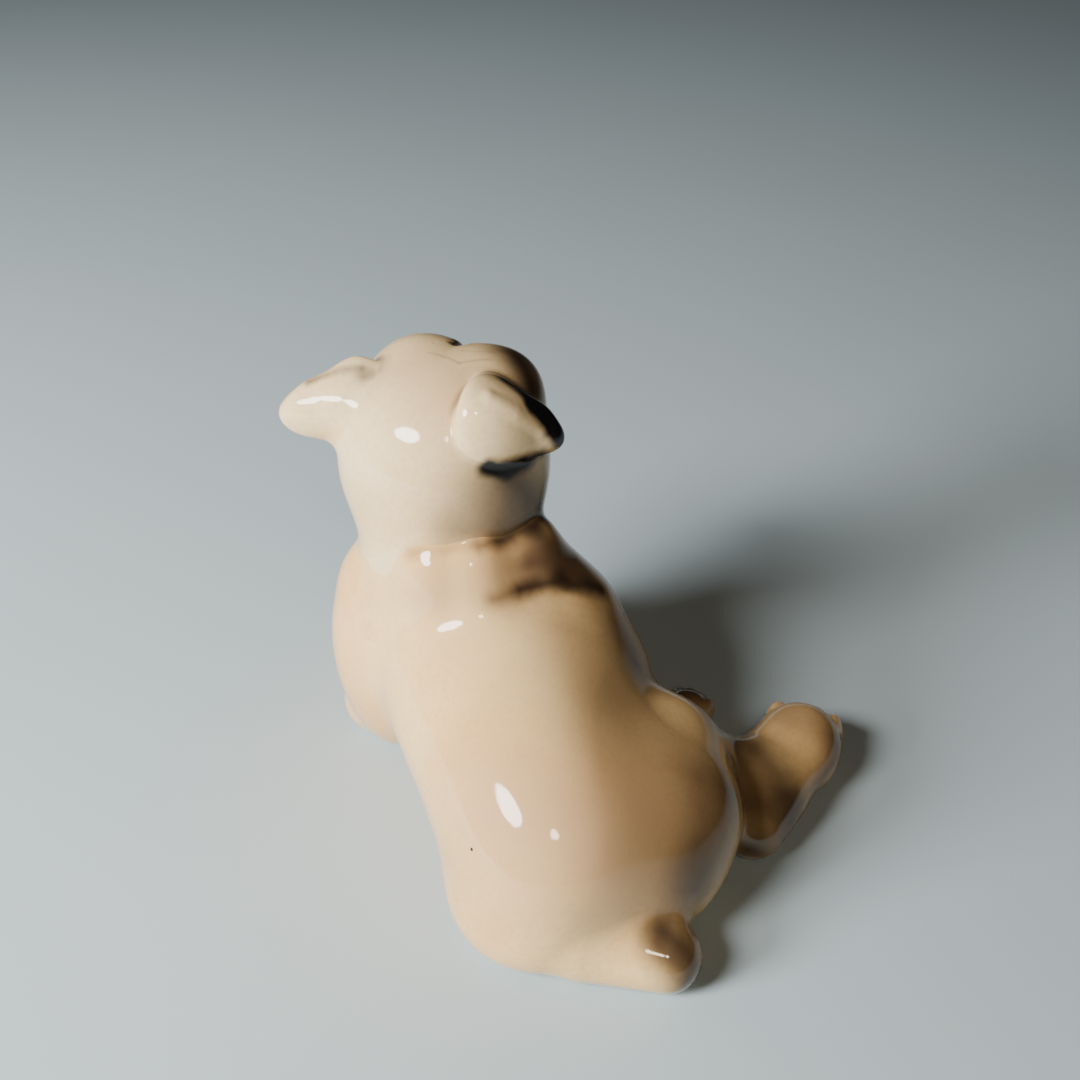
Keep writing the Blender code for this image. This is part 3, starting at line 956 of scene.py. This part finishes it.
def area_light(name, power, layout, middle):
    """An elliptical light, laid out about the modelling centre and pointing at its aim."""
    spot, aim, size, colour = layout
    light = bpy.data.lights.new(name, "AREA")
    light.energy = power
    light.color = colour
    light.shape = "ELLIPSE"
    light.size, light.size_y = size
    made = bpy.data.objects.new(name, light)
    bpy.context.scene.collection.objects.link(made)
    made.location = middle + Vector(spot)
    towards = middle + Vector(aim) - made.location
    made.rotation_euler = towards.to_track_quat("-Z", "Y").to_euler()
    return made


class PUPPY_OT_stage(bpy.types.Operator):
    """Set the floor, the camera and the three lights"""
    bl_idname = "puppy.stage"
    bl_label = "Stage"

    def execute(self, context):
        settings = context.scene.puppy_stage
        mesh = bpy.data.meshes.new("floor")
        half = FLOOR_HALF
        corners = [(-half, -half, 0), (half, -half, 0), (half, half, 0), (-half, half, 0)]
        mesh.from_pydata(corners, [], [(0, 1, 2, 3)])
        mesh.materials.append(paper("floor_sheet", settings.floor))
        floor = bpy.data.objects.new("floor", mesh)
        context.scene.collection.objects.link(floor)

        middle = Vector(-ORIGIN * MM)
        view = bpy.data.cameras.new("camera")
        view.angle = settings.camera_view
        view.clip_start = 0.01
        camera = bpy.data.objects.new("camera", view)
        context.scene.collection.objects.link(camera)
        camera.location = middle + Vector((0, settings.camera_back, settings.camera_height))
        camera.rotation_euler = (radians(90) - settings.camera_pitch, 0, radians(180))
        context.scene.camera = camera

        area_light("window", settings.window_power, WINDOW, middle)
        area_light("panel", settings.panel_power, PANEL, middle).visible_glossy = False
        area_light("lamp", settings.lamp_power, LAMP, middle)

        world = bpy.data.worlds.new("room")
        world.use_nodes = True
        background = world.node_tree.nodes["Background"]
        background.inputs["Color"].default_value = (0.86, 0.93, 1.0, 1)
        background.inputs["Strength"].default_value = settings.ambient
        context.scene.world = world
        return {"FINISHED"}


OPERATORS = (
    PUPPY_OT_stage, PUPPY_OT_body, PUPPY_OT_limbs, PUPPY_OT_head, PUPPY_OT_ears,
)


class PUPPY_PT_panel(bpy.types.Panel):
    """The puppy's pieces, colours and stage"""
    bl_idname = "PUPPY_PT_panel"
    bl_label = "Porcelain Puppy"
    bl_space_type = "VIEW_3D"
    bl_region_type = "UI"
    bl_category = "Puppy"

    def draw(self, context):
        for operator in OPERATORS:
            self.layout.operator(operator.bl_idname)
        for settings in (context.scene.puppy_glaze, context.scene.puppy_stage):
            box = self.layout.box()
            for name in settings.__annotations__:
                box.prop(settings, name)


CLASSES = (PuppyGlazeSettings, PuppyStageSettings, *OPERATORS, PUPPY_PT_panel)


def register():
    for cls in CLASSES:
        bpy.utils.register_class(cls)
    bpy.types.Scene.puppy_glaze = PointerProperty(type=PuppyGlazeSettings)
    bpy.types.Scene.puppy_stage = PointerProperty(type=PuppyStageSettings)


def unregister():
    del bpy.types.Scene.puppy_glaze
    del bpy.types.Scene.puppy_stage
    for cls in reversed(CLASSES):
        bpy.utils.unregister_class(cls)


def main():
    register()
    for operator in OPERATORS:
        group, name = operator.bl_idname.split(".")
        getattr(getattr(bpy.ops, group), name)()


if __name__ == "__main__":
    main()
